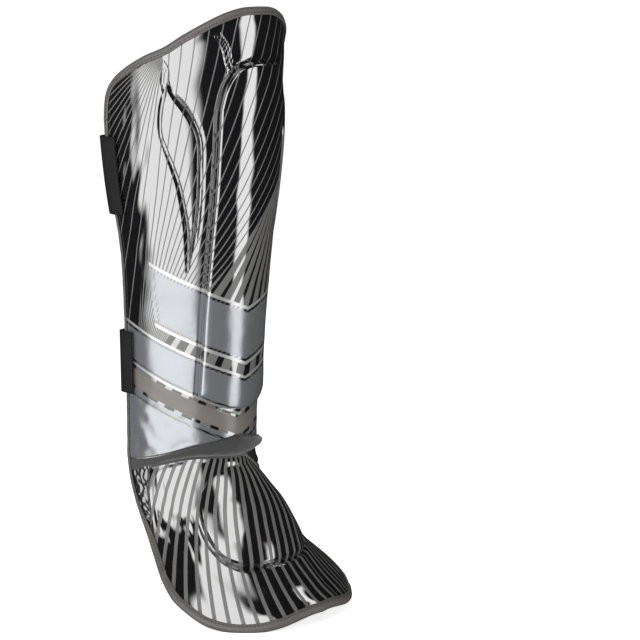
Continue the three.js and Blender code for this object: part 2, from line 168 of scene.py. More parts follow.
def make_piece(name, points, faces, flat=None, inside_from=None, rim_from=None):
    mesh = bpy.data.meshes.new(name)
    mesh.from_pydata([tuple(p) for p in np.asarray(points) / 1000], [], faces)
    mesh.update()
    if flat is not None:
        layer = mesh.uv_layers.new(name=PRINT_LAYER)
        corner = np.zeros(len(mesh.loops), np.int32)
        mesh.loops.foreach_get("vertex_index", corner)
        layer.data.foreach_set("uv", (np.asarray(flat)[corner] / 1000).astype(np.float32).ravel())
    order = np.arange(len(mesh.polygons))
    mesh.polygons.foreach_set("use_smooth", order < (len(order) if rim_from is None else rim_from))
    if inside_from is not None:
        mesh.polygons.foreach_set("material_index", (order >= inside_from).astype(np.int32))
    piece = bpy.data.objects.new(name, mesh)
    bpy.context.scene.collection.objects.link(piece)
    size = np.ptp(np.asarray(points), axis=0).round(0)
    print(f"{name}: {len(mesh.vertices)} points, {len(mesh.polygons)} faces, {size} mm")
    return piece


def wall_piece(name, outer, inner, flat):
    """outer is (rows, columns, 3) and fine, inner is the same area COARSE times coarser."""
    rows, columns = outer.shape[:2]
    low_rows, low_columns = inner.shape[:2]
    start = rows * columns

    def fine(j, i):
        return j * columns + i

    def rough(j, i):
        return start + j * low_columns + i

    faces = []
    for j in range(rows - 1):
        faces += [(fine(j, i), fine(j, i + 1), fine(j + 1, i + 1), fine(j + 1, i))
                  for i in range(columns - 1)]
    shown = len(faces)
    for j in range(low_rows - 1):
        faces += [(rough(j, i), rough(j + 1, i), rough(j + 1, i + 1), rough(j, i + 1))
                  for i in range(low_columns - 1)]
    rim = len(faces)
    top, right = (low_rows - 1) * COARSE, (low_columns - 1) * COARSE
    for i in range(low_columns - 1):
        run = [i * COARSE + k for k in range(COARSE + 1)]
        faces.append([fine(0, k) for k in reversed(run)] + [rough(0, i), rough(0, i + 1)])
        faces.append([fine(top, k) for k in run]
                     + [rough(low_rows - 1, i + 1), rough(low_rows - 1, i)])
    for j in range(low_rows - 1):
        run = [j * COARSE + k for k in range(COARSE + 1)]
        faces.append([fine(k, right) for k in reversed(run)]
                     + [rough(j, low_columns - 1), rough(j + 1, low_columns - 1)])
        faces.append([fine(k, 0) for k in run] + [rough(j + 1, 0), rough(j, 0)])
    points = np.concatenate([outer.reshape(-1, 3), inner.reshape(-1, 3)])
    cut = np.concatenate([flat.reshape(-1, 2), flat[::COARSE, ::COARSE].reshape(-1, 2)])
    return make_piece(name, points, faces, cut, shown, rim)


def ring_piece(name, rings, looped, flat):
    """Quads through rings of points; an open run gets flat ends."""
    count, size = rings.shape[:2]
    faces = []
    for r in range(count if looped else count - 1):
        a, b = r * size, (r + 1) % count * size
        faces += [(a + k, b + k, b + (k + 1) % size, a + (k + 1) % size) for k in range(size)]
    if not looped:
        last = (count - 1) * size
        faces += [list(range(size)), list(range(last + size - 1, last - 1, -1))]
    return make_piece(name, rings.reshape(-1, 3), faces, flat.reshape(-1, 2))


def steps(count):
    return np.linspace(0, 1, count * COARSE + 1)


# %% [markdown]
# ## Unevenness of vinyl over foam
# A glossy sheet glued over foam is never true, and its reflections show it. Noise from a texture
# could do this, but the shape itself should hold it, so a sum of long slanted waves with a fixed
# seed is added to the lift of each panel.

# %% Waves in the vinyl
def waves(s, w, seed, shortest, longest, count=14):
    draw = np.random.default_rng(seed)
    total = np.zeros(np.shape(s))
    for _ in range(count):
        length = shortest * (longest / shortest) ** draw.random()
        heading, phase = draw.random(2) * 2 * math.pi
        run = s * math.cos(heading) + w * math.sin(heading)
        total += np.sin(run * 2 * math.pi / length + phase)
    return total / math.sqrt(count)


# %% [markdown]
# ## Outlines of the raised pads
# On the real guard a long ridge, two leaf shapes and a dome are foam pads under the same vinyl, and
# the vinyl is pressed down into a channel around each of them. Thin highlights follow every
# channel. So each pad gets an outline in flat coordinates, the panels dip towards it, and the pad
# rises from the floor of the channel on a tight round shoulder.

# %% Pad outlines
CHANNEL_DEPTH = 1.8
CHANNEL_WIDTH = 4.0
PAD_REST = 0.3
RIDGE_LOW, RIDGE_HIGH = 41, 346
LEAF_LOW, LEAF_HIGH = 166, 328
DOME_LOW, DOME_HIGH = -101, -8

ridge_corner = curve([(0, 0), (0.3, 0.6), (0.6, 5), (0.8, 14), (0.93, 26), (1, 40)])
ridge_half = curve([(40, 41), (110, 38.5), (346, 38.5)])
LEAF = [(166, 53.7, 54.1), (190, 51, 56.5), (206, 50.2, 59), (224, 50, 63.5), (241, 50.4, 68.5),
        (257, 51.2, 75), (272, 52, 82), (284, 54, 87), (297, 60, 88.5), (307, 67, 88),
        (316, 75, 86.5), (328, 84.0, 84.5)]
dome_half = curve([(-101, 12), (-97, 31), (-86, 45), (-72, 51.5), (-56, 53), (-40, 51), (-29, 46),
                   (-20, 37), (-13, 25), (-8, 12)])
leaf_near, leaf_far = curve(LEAF, 0, 1), curve(LEAF, 0, 2)

PADS = {
    "ridge": (lambda w: -ridge_half(w), ridge_half,
              lambda a: RIDGE_LOW + 15 * (2 * a - 1) ** 2,
              lambda a: RIDGE_HIGH - ridge_corner(np.abs(2 * a - 1))),
    "leaf_right": (lambda w: -leaf_far(w), lambda w: -leaf_near(w),
                   lambda a: LEAF_LOW + 0 * a, lambda a: LEAF_HIGH + 0 * a),
    "leaf_left": (leaf_near, leaf_far,
                  lambda a: LEAF_LOW + 0 * a, lambda a: LEAF_HIGH + 0 * a),
    "dome": (lambda w: -dome_half(w), dome_half,
             lambda a: DOME_LOW + 0 * a, lambda a: DOME_HIGH + 0 * a),
}


def pad_place(pad, a, t):
    """Flat coordinates of a point of a pad: a runs across it and t runs up it, both 0 to 1."""
    near, far, low, high = PADS[pad]
    w = low(a) + (high(a) - low(a)) * t
    return near(w) + (far(w) - near(w)) * a, w


def outline(pad, count=90):
    t = np.linspace(0, 1, count)
    runs = [pad_place(pad, t, 0 * t), pad_place(pad, 0 * t + 1, t),
            pad_place(pad, t[::-1], 0 * t + 1), pad_place(pad, 0 * t, t[::-1])]
    return np.concatenate([np.stack(run, -1) for run in runs])


def distance_to(line, s, w):
    """Shortest distance in millimetres from each flat point to a closed outline."""
    flat = np.stack([s.ravel(), w.ravel()], -1)
    found = np.full(len(flat), 99.0)
    close = np.all((flat > line.min(0) - 20) & (flat < line.max(0) + 20), axis=1)
    a, ab = line, np.roll(line, -1, 0) - line
    size = np.maximum((ab ** 2).sum(1), 1e-9)
    picked = np.flatnonzero(close)
    for part in np.array_split(picked, max(1, len(picked) // 4000)):
        ap = flat[part][:, None] - a[None]
        k = np.clip((ap * ab).sum(2) / size, 0, 1)
        found[part] = np.sqrt(((ap - k[..., None] * ab) ** 2).sum(2).min(1))
    return found.reshape(s.shape)


def under_pad(pad, s, w):
    near, far, low, high = PADS[pad]
    a = (s - near(w)) / (far(w) - near(w))
    inside = np.clip(a, 0, 1)
    return (a > 0) & (a < 1) & (w > low(inside)) & (w < high(inside))


def channel_depth(pad, w):
    """Even round the ridge; it runs out at the tips of the leaves and at the ankle."""
    if pad == "dome":
        return CHANNEL_DEPTH * (1 - smoothstep(w, -62, -24))
    if pad == "ridge":
        return CHANNEL_DEPTH + 0 * w
    return CHANNEL_DEPTH * (0.35 + 0.65 * smoothstep(w, 168, 205) * (1 - smoothstep(w, 312, 328)))


def channel(pads, s, w):
    """How far a panel dips around and under its pads."""
    lift = np.zeros(s.shape)
    for pad in pads:
        away = distance_to(outline(pad), s, w)
        deep = -channel_depth(pad, w)
        dip = deep * (1 - smoothstep(away, 0.12 * CHANNEL_WIDTH, CHANNEL_WIDTH))
        lift = np.minimum(lift, np.where(under_pad(pad, s, w), deep, dip))
    return lift


print("ridge outline:", outline("ridge").min(0).round(), outline("ridge").max(0).round(), "mm")

# %% [markdown]
# ## The shin panel
# The panel is foam between printed vinyl and a soft lining. Where the pads pull the vinyl, bunched
# creases run from the tips of the pads to the top edge. They are narrow folds beside each other, so
# they are put into the lift as a few waves across a line, which fade at both ends.

# %% Shin panel
EDGE_WALL, SHIN_WALL, INSTEP_WALL = 5.0, 11.0, 8.0


def panel_wall(full, side, from_edge):
    inward = 1 - smoothstep(np.abs(side), 0.7, 0.92)
    return EDGE_WALL + (full - EDGE_WALL) * inward * smoothstep(from_edge, 12, 45)


def crease(s, w, start, end, width, depth):
    """A bunch of folds along a line between two flat points."""
    a, b = np.array(start, float), np.array(end, float)
    run = b - a
    length = np.linalg.norm(run)
    k = ((s - a[0]) * run[0] + (w - a[1]) * run[1]) / length ** 2
    off = ((s - a[0]) * run[1] - (w - a[1]) * run[0]) / length
    off = off + 1.1 * np.sin(k * 9)
    fade = smoothstep(k, -0.12, 0.08) * (1 - smoothstep(k, 0.75, 1.05))
    bell = np.exp(-(off / width) ** 2)
    return depth * fade * bell * (-0.75 + 0.6 * np.cos(off * 2 * math.pi / (0.95 * width)))


def shin_relief(s, w):
    lift = channel(("ridge", "leaf_right", "leaf_left"), s, w)
    lift = lift + 0.3 * waves(s, w, 3, 30, 90)
    for way in (-1, 1):
        lift = lift + crease(s, w, (way * 83, 322), (way * 92, 354), 5.0, 2.1)
        lift = lift + crease(s, w, (way * 26, 338), (way * 44, 378), 4.5, 1.7)
        slack = smoothstep(way * s, 88, 104) * smoothstep(w, 120, 190)
        slack = slack * (1 - smoothstep(w, 300, 345))
        lift = lift + 0.28 * slack * waves(s * 1.3, w * 0.5, 11 + way, 12, 34)
        hem = smoothstep(way * s, 30, 60) * (1 - smoothstep(w, 20, 75))
        lift = lift + 0.22 * hem * waves(s * 0.7, w * 1.3, 21 + way, 9, 26)
    return lift


def panel_grid(columns, rows, low, high):
    side = np.linspace(-1, 1, columns)[None, :] + np.zeros((rows, 1))
    reach = low(side) + (high(side) - low(side)) * np.linspace(0, 1, rows)[:, None]
    return side, reach


side, along = panel_grid(58 * COARSE + 1, 62 * COARSE + 1,
                         lambda u: shin_hem(np.abs(u)) + GAP, lambda u: top_edge(np.abs(u)))
s = side * girth(along)
from_top = top_edge(np.abs(side)) - along
from_edge = np.minimum(from_top, (1 - np.abs(side)) * girth(along))
calm = smoothstep(from_edge, 5, 14)
outer = skin(side, along, shin_relief(s, along) * calm)
inner = skin(side, along, -panel_wall(SHIN_WALL, side, from_top))[::COARSE, ::COARSE]
shin_panel = wall_piece("shin_panel", outer, inner, np.stack([s, along], -1))

# %% [markdown]
# ## The raised pads
# A pad is a crowned closed form with a flat back. It could be a scaled box with a subdivision
# surface, but its outline is free, so it is a grid over that outline. The height comes from the
# distance to the outline: a tight shoulder first, then a slow crown.

# %% Ridge, leaves and dome
RIDGE_HEIGHT, LEAF_HEIGHT, DOME_HEIGHT = 6.0, 4.5, 15.0
SHOULDER = 3.2
PAD_RIM = 0.15


def crowded(count):
    """Even steps that crowd towards both ends."""
    t = steps(count)
    return 0.3 * t + 0.35 * (1 - np.cos(math.pi * t))


def rise(away, crown):
    tight = np.sin(math.pi / 2 * np.clip(away / SHOULDER, 0, 1))
    slow = 1 - (1 - np.clip(away / crown, 0, 1)) ** 2
    return tight, slow


def pad_piece(name, pad, columns, rows, height, crown, shoulder_share, uneven):
    a, t = np.meshgrid(crowded(columns), crowded(rows))
    s, w = pad_place(pad, a, t)
    away = distance_to(outline(pad, 160), s, w)
    tight, slow = rise(away, crown)
    rest = PAD_REST - channel_depth(pad, w)
    share = shoulder_share * channel_depth(pad, w) / CHANNEL_DEPTH
    shape = share * tight + (1 - share) * slow
    lift = rest + PAD_RIM + (height - rest) * shape
    lift = lift + uneven * tight * waves(s, w, len(name), 25, 80)
    side = s / girth(w)
    outer = skin(side, w, lift)
    inner = skin(side, w, rest)[::COARSE, ::COARSE]
    return wall_piece(name, outer, inner, np.stack([s, w], -1))


ridge_pad = pad_piece("ridge_pad", "ridge", 16, 44, RIDGE_HEIGHT, 20, 0.78, 0.2)
leaf_pads = [pad_piece(f"leaf_pad_{way}", f"leaf_{way}", 10, 30, LEAF_HEIGHT, 18, 0.78, 0.15)
             for way in ("right", "left")]
dome_pad = pad_piece("dome_pad", "dome", 20, 20, DOME_HEIGHT, 46, 0.24, 0.3)

# %% [markdown]
# ## The instep flap
# The flap is made as the shin panel is. Its vinyl is looser, most of all beside the ankle, where it
# has fine wrinkles that run towards the toe, so shorter waves are added there. The upper edge runs
# into the seam under the lip, and its last rows are the cloth of that seam.

# %% Instep flap
SEAM_LAP = 0.9
SEAM_ROWS = 2

side, along = panel_grid(44 * COARSE + 1, 34 * COARSE + 1, lambda u: toe_edge(np.abs(u)),
                         lambda u: flap_seam(u) + SEAM_LAP)
s = side * girth(along)
from_toe = along - toe_edge(np.abs(side))
from_edge = np.minimum(from_toe, (1 - np.abs(side)) * girth(along))
ankle_slack = smoothstep(np.abs(s), 48, 70) * smoothstep(along, -95, -35)
relief = channel(("dome",), s, along) + 0.35 * waves(s, along, 5, 22, 70)
relief = relief + 0.32 * ankle_slack * waves(s * 1.4, along * 0.5, 8, 8, 20)
relief = relief + 0.07 * waves(s * 1.4, along * 0.6, 9, 12, 26) * (1 - ankle_slack)
calm = smoothstep(from_edge, 5, 14) * smoothstep(flap_seam(side) - along, 0, 8)
tucked = -1.8 * (1 - smoothstep(flap_seam(side) - along, 0, 5))
tucked = tucked * smoothstep((1 - np.abs(side)) * girth(along), 3, 12)
outer = skin(side, along, relief * calm + tucked)
inner = skin(side, along, -panel_wall(INSTEP_WALL, side, from_toe))[::COARSE, ::COARSE]
instep_flap = wall_piece("instep_flap", outer, inner, np.stack([s, along], -1))
shown, across = (outer.shape[0] - 1) * (outer.shape[1] - 1), outer.shape[1] - 1
for face in instep_flap.data.polygons[shown - SEAM_ROWS * across:shown]:
    face.material_index = 1

# %% [markdown]
# ## The fabric lip at the ankle
# A stuffed roll of fabric closes the bottom of the shin panel. It is thickest at the front and thins
# out into the binding. A bevelled curve would have the same section everywhere, so rings with their
# own swell are lofted instead.

# %% Ankle lip
# down the roll, and outwards as a share of the swell or of the thickness
LIP_PROFILE = [(0.0, -1.0), (0.0, -0.55), (0.01, -0.06), (0.06, 0.42), (0.16, 0.76), (0.3, 0.95),
               (0.46, 1.0), (0.62, 0.92), (0.77, 0.7), (0.89, 0.36), (0.97, -0.02), (1.0, -0.3),
               (1.0, -0.6), (1.0, -1.0)]
LIP_SWELL = 4.6


def lip_ring(side):
    reach = np.abs(side)
    full = 1 - smoothstep(reach, 0.42, 0.8)
    high, low = shin_hem(reach), lip_hem(reach)
    ring = []
    for down, out in LIP_PROFILE:
        pucker = 0.25 * full * waves(side * girth(0.0), 30 * down + 0 * side, 4, 9, 30, 8)
        lift = np.where(out > 0, out * (LIP_SWELL * full + 0.5), out * (EDGE_WALL + 3 * full))
        ring.append(skin(side, high + (low - high) * down, lift + (pucker if out > 0.3 else 0)))
    return np.stack(ring, -2)


sides = np.linspace(-1, 1, 161)
lip_rings = lip_ring(sides)
lip_flat = np.stack(np.meshgrid(np.arange(len(LIP_PROFILE)) * 2.4, sides * girth(0.0))[::-1], -1)
ankle_roll = ring_piece("ankle_roll", lip_rings, False, lip_flat)

# %% [markdown]
# ## The gussets
# Thin loose vinyl fills the crescents between the lip and the flap, so that the ankle can bend. It is
# crumpled all over. A cloth simulation could crumple it, but the strips are small and sewn on all
# sides, so crossing folds are added to the lift and fade out at the seams. The near gusset is short
# and the far one runs almost to the front.

# %% Gussets
GUSSET_SINK, GUSSET_SHEET = 1.4, 1.2
GUSSET_TIPS = {"right": (-1, 0.79), "left": (1, 0.12)}  # side of the guard, share of the girth at the tip


def gusset_piece(name, way, tip):
    u, t = np.meshgrid(steps(18), steps(9))
    side = way * (tip + (1 - tip) * u)
    low, high = flap_seam(side), lip_hem(np.abs(side)) + SEAM_LAP
    w = low + (high - low) * t
    s = side * girth(w)
    loose = np.minimum(1, np.minimum(w - low, high - w) / 3.5)
    loose = loose * smoothstep((1 - u) * girth(w), 4, 12)
    folds = np.abs(waves(s, w, 31 + way, 6, 16)) - 0.9
    lift = -GUSSET_SINK + loose * (0.8 * folds + 0.22 * waves(s, w, 41 + way, 3.5, 7))
    lift = np.minimum(lift, 0.6)
    outer = skin(side, w, lift)
    inner = skin(side, w, lift - GUSSET_SHEET)[::COARSE, ::COARSE]
    return wall_piece(name, outer, inner, np.stack([s, w], -1))


gussets = [gusset_piece(f"gusset_{hand}", *GUSSET_TIPS[hand]) for hand in ("right", "left")]

# %% [markdown]
# ## The binding and its stitches
# One folded tape runs round the whole outline, and one row of thread holds it. The tape is a loft of
# a rounded U along the edge. The stitches could be painted, but they catch the light, so each one is
# a small bead of thread that sinks into the tape at both ends.

# %% Edge binding
# outwards from the edge, lift above the skin
BINDING_PROFILE = [(-7, 0.45), (-7.1, 1.0), (-6.5, 1.5), (-5.2, 1.62), (-3.8, 1.42), (-2.4, 1.66),
                   (-0.8, 1.55), (0.7, 0.9), (1.7, -0.5), (2.0, -2.4), (1.7, -4.4), (0.6, -6.0),
                   (-1, -6.9), (-4, -7.05), (-7, -6.76), (-7, -5.8), (0.6, -5.8), (0.6, 0.45)]


def edge_outline():
    stops = np.arange(-66, 296, 3.0)
    half = np.sin(math.pi / 2 * np.linspace(-1, 1, 141))
    toe = np.sin(math.pi / 2 * np.linspace(1, -1, 121))
    side = np.concatenate([0 * stops - 1, half, 0 * stops + 1, toe])
    along = np.concatenate([stops, top_edge(np.abs(half)), stops[::-1], toe_edge(np.abs(toe))])
    return side, along


edge_side, edge_along = edge_outline()
edge_points = skin_point(edge_side, edge_along)
edge_run = unit(np.roll(edge_points, -1, 0) - np.roll(edge_points, 1, 0))
edge_across, edge_up, edge_normal = skin_frame(edge_side, edge_along)
edge_outward = unit(np.cross(edge_normal, edge_run))


def length_along(line):
    """Distance from the first point of a line to each of its points."""
    return np.concatenate([[0], np.cumsum(np.linalg.norm(np.diff(line, axis=0), axis=1))])


edge_length = length_along(edge_points)

# The tape is wide over the top and round the toe, and only a thin roll down the sides of the shin.
on_side = (np.abs(edge_side) > 0.995) * smoothstep(edge_along, -45, -20)
on_side = on_side * (1 - smoothstep(edge_along, 255, 300))
tape_width = 0.7 - 0.35 * on_side


def by_edge(out, lift):
    """Points beside the edge, on the skin inwards and straight on outwards."""
    e, f, g = (edge_across ** 2).sum(1), (edge_across * edge_up).sum(1), (edge_up ** 2).sum(1)
    p, q = (edge_outward * edge_across).sum(1), (edge_outward * edge_up).sum(1)
    per_side = (p * g - q * f) / (e * g - f * f)
    per_along = (q * e - p * f) / (e * g - f * f)
    if out > 0:
        return edge_points + edge_outward * out + edge_normal * np.asarray(lift)[..., None]
    inward = out * tape_width
    return skin(edge_side + per_side * inward, edge_along + per_along * inward, lift + 0 * edge_side)


pucker = 0.12 * waves(edge_length, 0 * edge_length, 6, 6, 25)
binding_rings = np.stack([by_edge(out, lift + (pucker if lift > 0.8 else 0))
                          for out, lift in BINDING_PROFILE], 1)
binding_flat = np.stack(np.meshgrid(np.arange(len(BINDING_PROFILE)) * 2.0, edge_length)[::-1], -1)
binding = ring_piece("binding_tape", binding_rings, True, binding_flat)

# %% Rows of stitches
STITCH_PITCH, STITCH_LENGTH, STITCH_THICK = 3.4, 2.5, 0.42


def thread_row(line, normals, pitch=STITCH_PITCH, length=STITCH_LENGTH, thick=STITCH_THICK,
               slant=0.0):
    """Points and faces of a row of stitches along a line of points."""
    run = length_along(line)
    middles = np.arange(pitch / 2, run[-1] - pitch / 2, pitch)
    place = np.stack([np.interp(middles, run, line[:, k]) for k in range(3)], -1)
    ahead = np.stack([np.interp(middles + 0.5, run, line[:, k]) for k in range(3)], -1)
    out = unit(np.stack([np.interp(middles, run, normals[:, k]) for k in range(3)], -1))
    head = unit(ahead - place)
    beside = unit(np.cross(out, head))
    head = unit(head + slant * beside)
    beside = unit(np.cross(out, head))
    points, faces = [], []
    ring = 6
    for n in range(len(middles)):
        start = len(points)
        for part, swell in ((-0.5, 0.35), (-0.28, 0.95), (0.0, 1.0), (0.28, 0.95), (0.5, 0.35)):
            middle = place[n] + head[n] * part * length - out[n] * (abs(part) * 2) ** 3 * thick
            for k in range(ring):
                turn = 2 * math.pi * k / ring
                round_it = math.cos(turn) * beside[n] + math.sin(turn) * out[n]
                points.append(middle + round_it * thick * swell)
        for r in range(4):
            a, b = start + r * ring, start + (r + 1) * ring
            faces += [(a + k, a + (k + 1) % ring, b + (k + 1) % ring, b + k) for k in range(ring)]
        faces.append(list(range(start + ring - 1, start - 1, -1)))
        faces.append(list(range(start + 4 * ring, start + 5 * ring)))
    return points, faces


def thread_piece(name, rows):
    points, faces = [], []
    for row_points, row_faces in rows:
        start = len(points)
        points += row_points
        faces += [[index + start for index in face] for face in row_faces]
    return make_piece(name, points, faces, np.array(points)[:, [0, 2]])


binding_thread = thread_piece("binding_thread", [thread_row(by_edge(-3.8, 1.5), edge_normal),
                                                 thread_row(by_edge(-3.8, -7.1), -edge_normal)])
lip_stops = np.linspace(-0.9, 0.9, 300)
lip_line = lip_ring(lip_stops)[:, 3]
lip_normals = skin_frame(lip_stops, shin_hem(np.abs(lip_stops)))[2]
lip_thread = thread_piece("lip_thread", [thread_row(lip_line, lip_normals, 2.6, 2.6, 0.36, 1.1)])

# %% [markdown]
# ## The calf straps
# Two wide elastic straps cross the back. Woven elastic is ribbed along its length and has a firm
# edge. A strap is flat webbing, so it is modelled directly on the line that the solid follows: sewn
# on the right, across the back, and lapped on the left.

# %% Strap lines
STRAP_LIFT, STRAP_TURN, STRAP_BOW = 3.0, 10.0, 9.0
MIRROR = np.array([-1.0, 1.0, 1.0])


def smooth_line(stops, count):
    """Centripetal curve through the stops, as the solid's line is."""
    stops = np.array(stops)
    padded = np.concatenate([[2 * stops[0] - stops[1]], stops, [2 * stops[-1] - stops[-2]]])
    found = []
    spans = len(stops) - 1
    for t in np.linspace(0, spans, count):
        i = min(int(t), spans - 1)
        k = t - i
        p0, p1, p2, p3 = padded[i:i + 4]
        d0, d1, d2 = [max(np.linalg.norm(b - a) ** 0.5, 1e-4)
                      for a, b in ((p0, p1), (p1, p2), (p2, p3))]
        m1 = ((p1 - p0) / d0 - (p2 - p0) / (d0 + d1) + (p2 - p1) / d1) * d1
        m2 = ((p2 - p1) / d1 - (p3 - p1) / (d1 + d2) + (p3 - p2) / d2) * d1
        c2, c3 = -3 * p1 + 3 * p2 - 2 * m1 - m2, 2 * p1 - 2 * p2 + m1 + m2
        found.append(p1 + m1 * k + c2 * k * k + c3 * k ** 3)
    return np.array(found)


def strap_stops(height):
    stops = [skin(-reach, height, STRAP_LIFT) for reach in (0.9, 0.95, 1.0)]
    edge, normal = skin_point(-1.0, height), skin_frame(-1.0, height)[2]
    outward = unit(edge - skin_point(-0.97, height))
    turn_out = edge + outward * STRAP_TURN * 0.75 + normal * 0.5
    turn_in = edge + outward * STRAP_TURN - normal * 8
    crossing = [np.array([-turn_in[0] * part, turn_in[1] + STRAP_BOW * (1 - part * part), height])
                for part in (-0.5, 0.0, 0.5)]
    stops += [turn_out, turn_in, *crossing, turn_in * MIRROR, turn_out * MIRROR]
    return stops + [skin(reach, height, STRAP_LIFT) for reach in (1.0, 0.95, 0.86, 0.76, 0.66)]


# %% Straps with ribs and firm edges
STRAP_HALF_WALL = 0.85
RIB_PITCH = 5.2


def strap_piece(name, low, high):
    columns, rows = 40 * COARSE + 1, 14 * COARSE + 1
    heights = np.linspace(low, high, rows)
    keys = np.linspace(low, high, 8)
    key_lines = np.array([smooth_line(strap_stops(h), columns) for h in keys])
    lines = np.empty((rows, columns, 3))
    for k in range(3):
        for i in range(columns):
            lines[:, i, k] = np.interp(heights, keys, key_lines[:, i, k])
    run = np.gradient(lines, axis=1)
    out = unit(np.cross(run, np.array([0.0, 0.0, 1.0])))
    v = np.linspace(0, 1, rows)[:, None]
    firm = np.exp(-(np.minimum(v, 1 - v) * (high - low) / 2.2) ** 2)
    ribs = 0.16 * np.cos(v * (high - low) * 2 * math.pi / RIB_PITCH) * (1 - firm)
    column = np.arange(columns)
    ends = np.minimum(1, np.minimum(column, columns - 1 - column) / 3.0)[None, :]
    lift = (STRAP_HALF_WALL + 0.25 * firm + ribs) * (0.55 + 0.45 * ends)
    flat_run = length_along(lines[rows // 2])
    flat = np.stack(np.broadcast_arrays(flat_run[None, :], heights[:, None]), -1)
    back = (lines - out * STRAP_HALF_WALL)[::COARSE, ::COARSE]
    strap = wall_piece(name, lines + out * lift[..., None], back, flat)
    seams = []
    for place in (2, 6, columns - 3, columns - 14):
        seams.append(thread_row(lines[2:-2, place] + out[2:-2, place] * 1.1, out[2:-2, place]))
    for row in (2, rows - 3):
        tack = slice(2, 14)
        seams.append(thread_row(lines[row, tack] + out[row, tack] * 1.2, out[row, tack]))
    return strap, thread_piece(name + "_thread", seams)


upper_strap, upper_thread = strap_piece("upper_strap", 213, 281)
lower_strap, lower_thread = strap_piece("lower_strap", 54, 109)

# %% [markdown]
# ## A small language for node materials
# Every finish below is built from nodes. Wiring them one by one is long, so a bench holds one
# material's node tree and offers the few steps that the finishes need: a number from two others, a
# soft step, a mix, a noise. Values that are the same all over go straight onto the shader.

# %% Material bench
class Bench:
    def __init__(self, name, **sockets):
        self.material = bpy.data.materials.new(name)
        self.material.use_nodes = True
        self.tree = self.material.node_tree
        self.shader = self.tree.nodes["Principled BSDF"]
        for socket, value in sockets.items():
            self.shader.inputs[socket.replace("_", " ")].default_value = value

    def put(self, kind, inputs, **settings):
        node = self.tree.nodes.new(kind)
        for key, value in settings.items():
            setattr(node, key, value)
        for key, value in inputs.items():
            if isinstance(value, bpy.types.NodeSocket):
                self.tree.links.new(value, node.inputs[key])
            else:
                node.inputs[key].default_value = value
        return node

    def math(self, operation, a, b=0.0, c=0.0):
        return self.put("ShaderNodeMath", {0: a, 1: b, 2: c}, operation=operation).outputs[0]

    def step(self, value, low, high):
        inputs = {0: value, 1: low, 2: high}
        return self.put("ShaderNodeMapRange", inputs, interpolation_type="SMOOTHSTEP").outputs[0]

    def mix(self, share, first, second):
        node = self.tree.nodes.new("ShaderNodeMix")
        node.data_type = "RGBA"
        self.feed(node.inputs[0], share)
        self.feed(node.inputs[6], first)
        self.feed(node.inputs[7], second)
        return node.outputs[2]

    def number(self, share, first, second):
        node = self.tree.nodes.new("ShaderNodeMix")
        self.feed(node.inputs[0], share)
        self.feed(node.inputs[2], first)
        self.feed(node.inputs[3], second)
        return node.outputs[0]

    def feed(self, socket, value):
        if isinstance(value, bpy.types.NodeSocket):
            self.tree.links.new(value, socket)
        else:
            socket.default_value = value

    def flat(self):
        """Girth and height on the cut, in millimetres."""
        layer = self.put("ShaderNodeUVMap", {}, uv_map=PRINT_LAYER)
        parts = self.put("ShaderNodeSeparateXYZ", {0: layer.outputs[0]})
        s = self.math("MULTIPLY", parts.outputs[0], 1000.0)
        return s, self.math("MULTIPLY", parts.outputs[1], 1000.0)

    def place(self):
        return self.put("ShaderNodeTexCoord", {}).outputs["Object"]

    def noise(self, scale, detail=3.0, roughness=0.55, vector=None):
        spot = self.place() if vector is None else vector
        inputs = {"Vector": spot, "Scale": scale, "Detail": detail, "Roughness": roughness}
        return self.put("ShaderNodeTexNoise", inputs).outputs[0]

    def set(self, socket, value):
        self.tree.links.new(value, self.shader.inputs[socket])

    def bump(self, height, distance, strength=1.0):
        node = self.put("ShaderNodeBump", {"Height": height, "Distance": distance, "Strength": strength})
        self.set("Normal", node.outputs[0])


def grey(value, warm=0.0):
    return (value * (1 + warm), value, value * (1 - warm), 1.0)


print("bench ready")

# %% [markdown]
# ## The print on the vinyl
# Thin grey lines are printed on gloss black and run together towards a point low on the side of the
# shin. Beside the tip of the leaf the vinyl is pulled, and the lines run up to its crease. Below
# lie silver chevrons with pale edges and dark keylines. On the instep, wider stripes open out from
# the ankle to the toe. A drawn image could hold all this, but the flat coordinates make it exact:
# each family of lines is an angle about a point, cut into steps.

# %% Fans of lines
def fan(bench, s, w, centre, degrees, width, phase=0.0):
    """Lines, as wide as given in millimetres, that leave a centre at equal angles: 1 on a line."""
    ds = bench.math("SUBTRACT", s, centre[0])
    dw = bench.math("SUBTRACT", w, centre[1])
    angle = bench.math("MULTIPLY", bench.math("ARCTAN2", ds, dw), 180 / math.pi)
    turn = bench.math("ADD", bench.math("DIVIDE", angle, degrees), phase)
    off = bench.math("ABSOLUTE", bench.math("SUBTRACT", bench.math("FRACT", turn), 0.5))
    squares = bench.math("ADD", bench.math("MULTIPLY", ds, ds), bench.math("MULTIPLY", dw, dw))
    reach = bench.math("SQRT", squares)
    off_mm = bench.math("MULTIPLY", off, bench.math("MULTIPLY", reach, degrees * math.pi / 180))
    half = bench.math("MULTIPLY", width, 0.5)
    clear = bench.math("SUBTRACT", half, off_mm)
    return bench.step(clear, -0.12, 0.12), angle


# %% Gloss, ink and silver on one vinyl
BLACK = (0.004, 0.004, 0.0045, 1.0)
INK = grey(0.075, 0.02)
SILVER = (0.225, 0.232, 0.244, 1.0)
PALE = grey(0.42)
TAUPE = grey(0.085, 0.08)


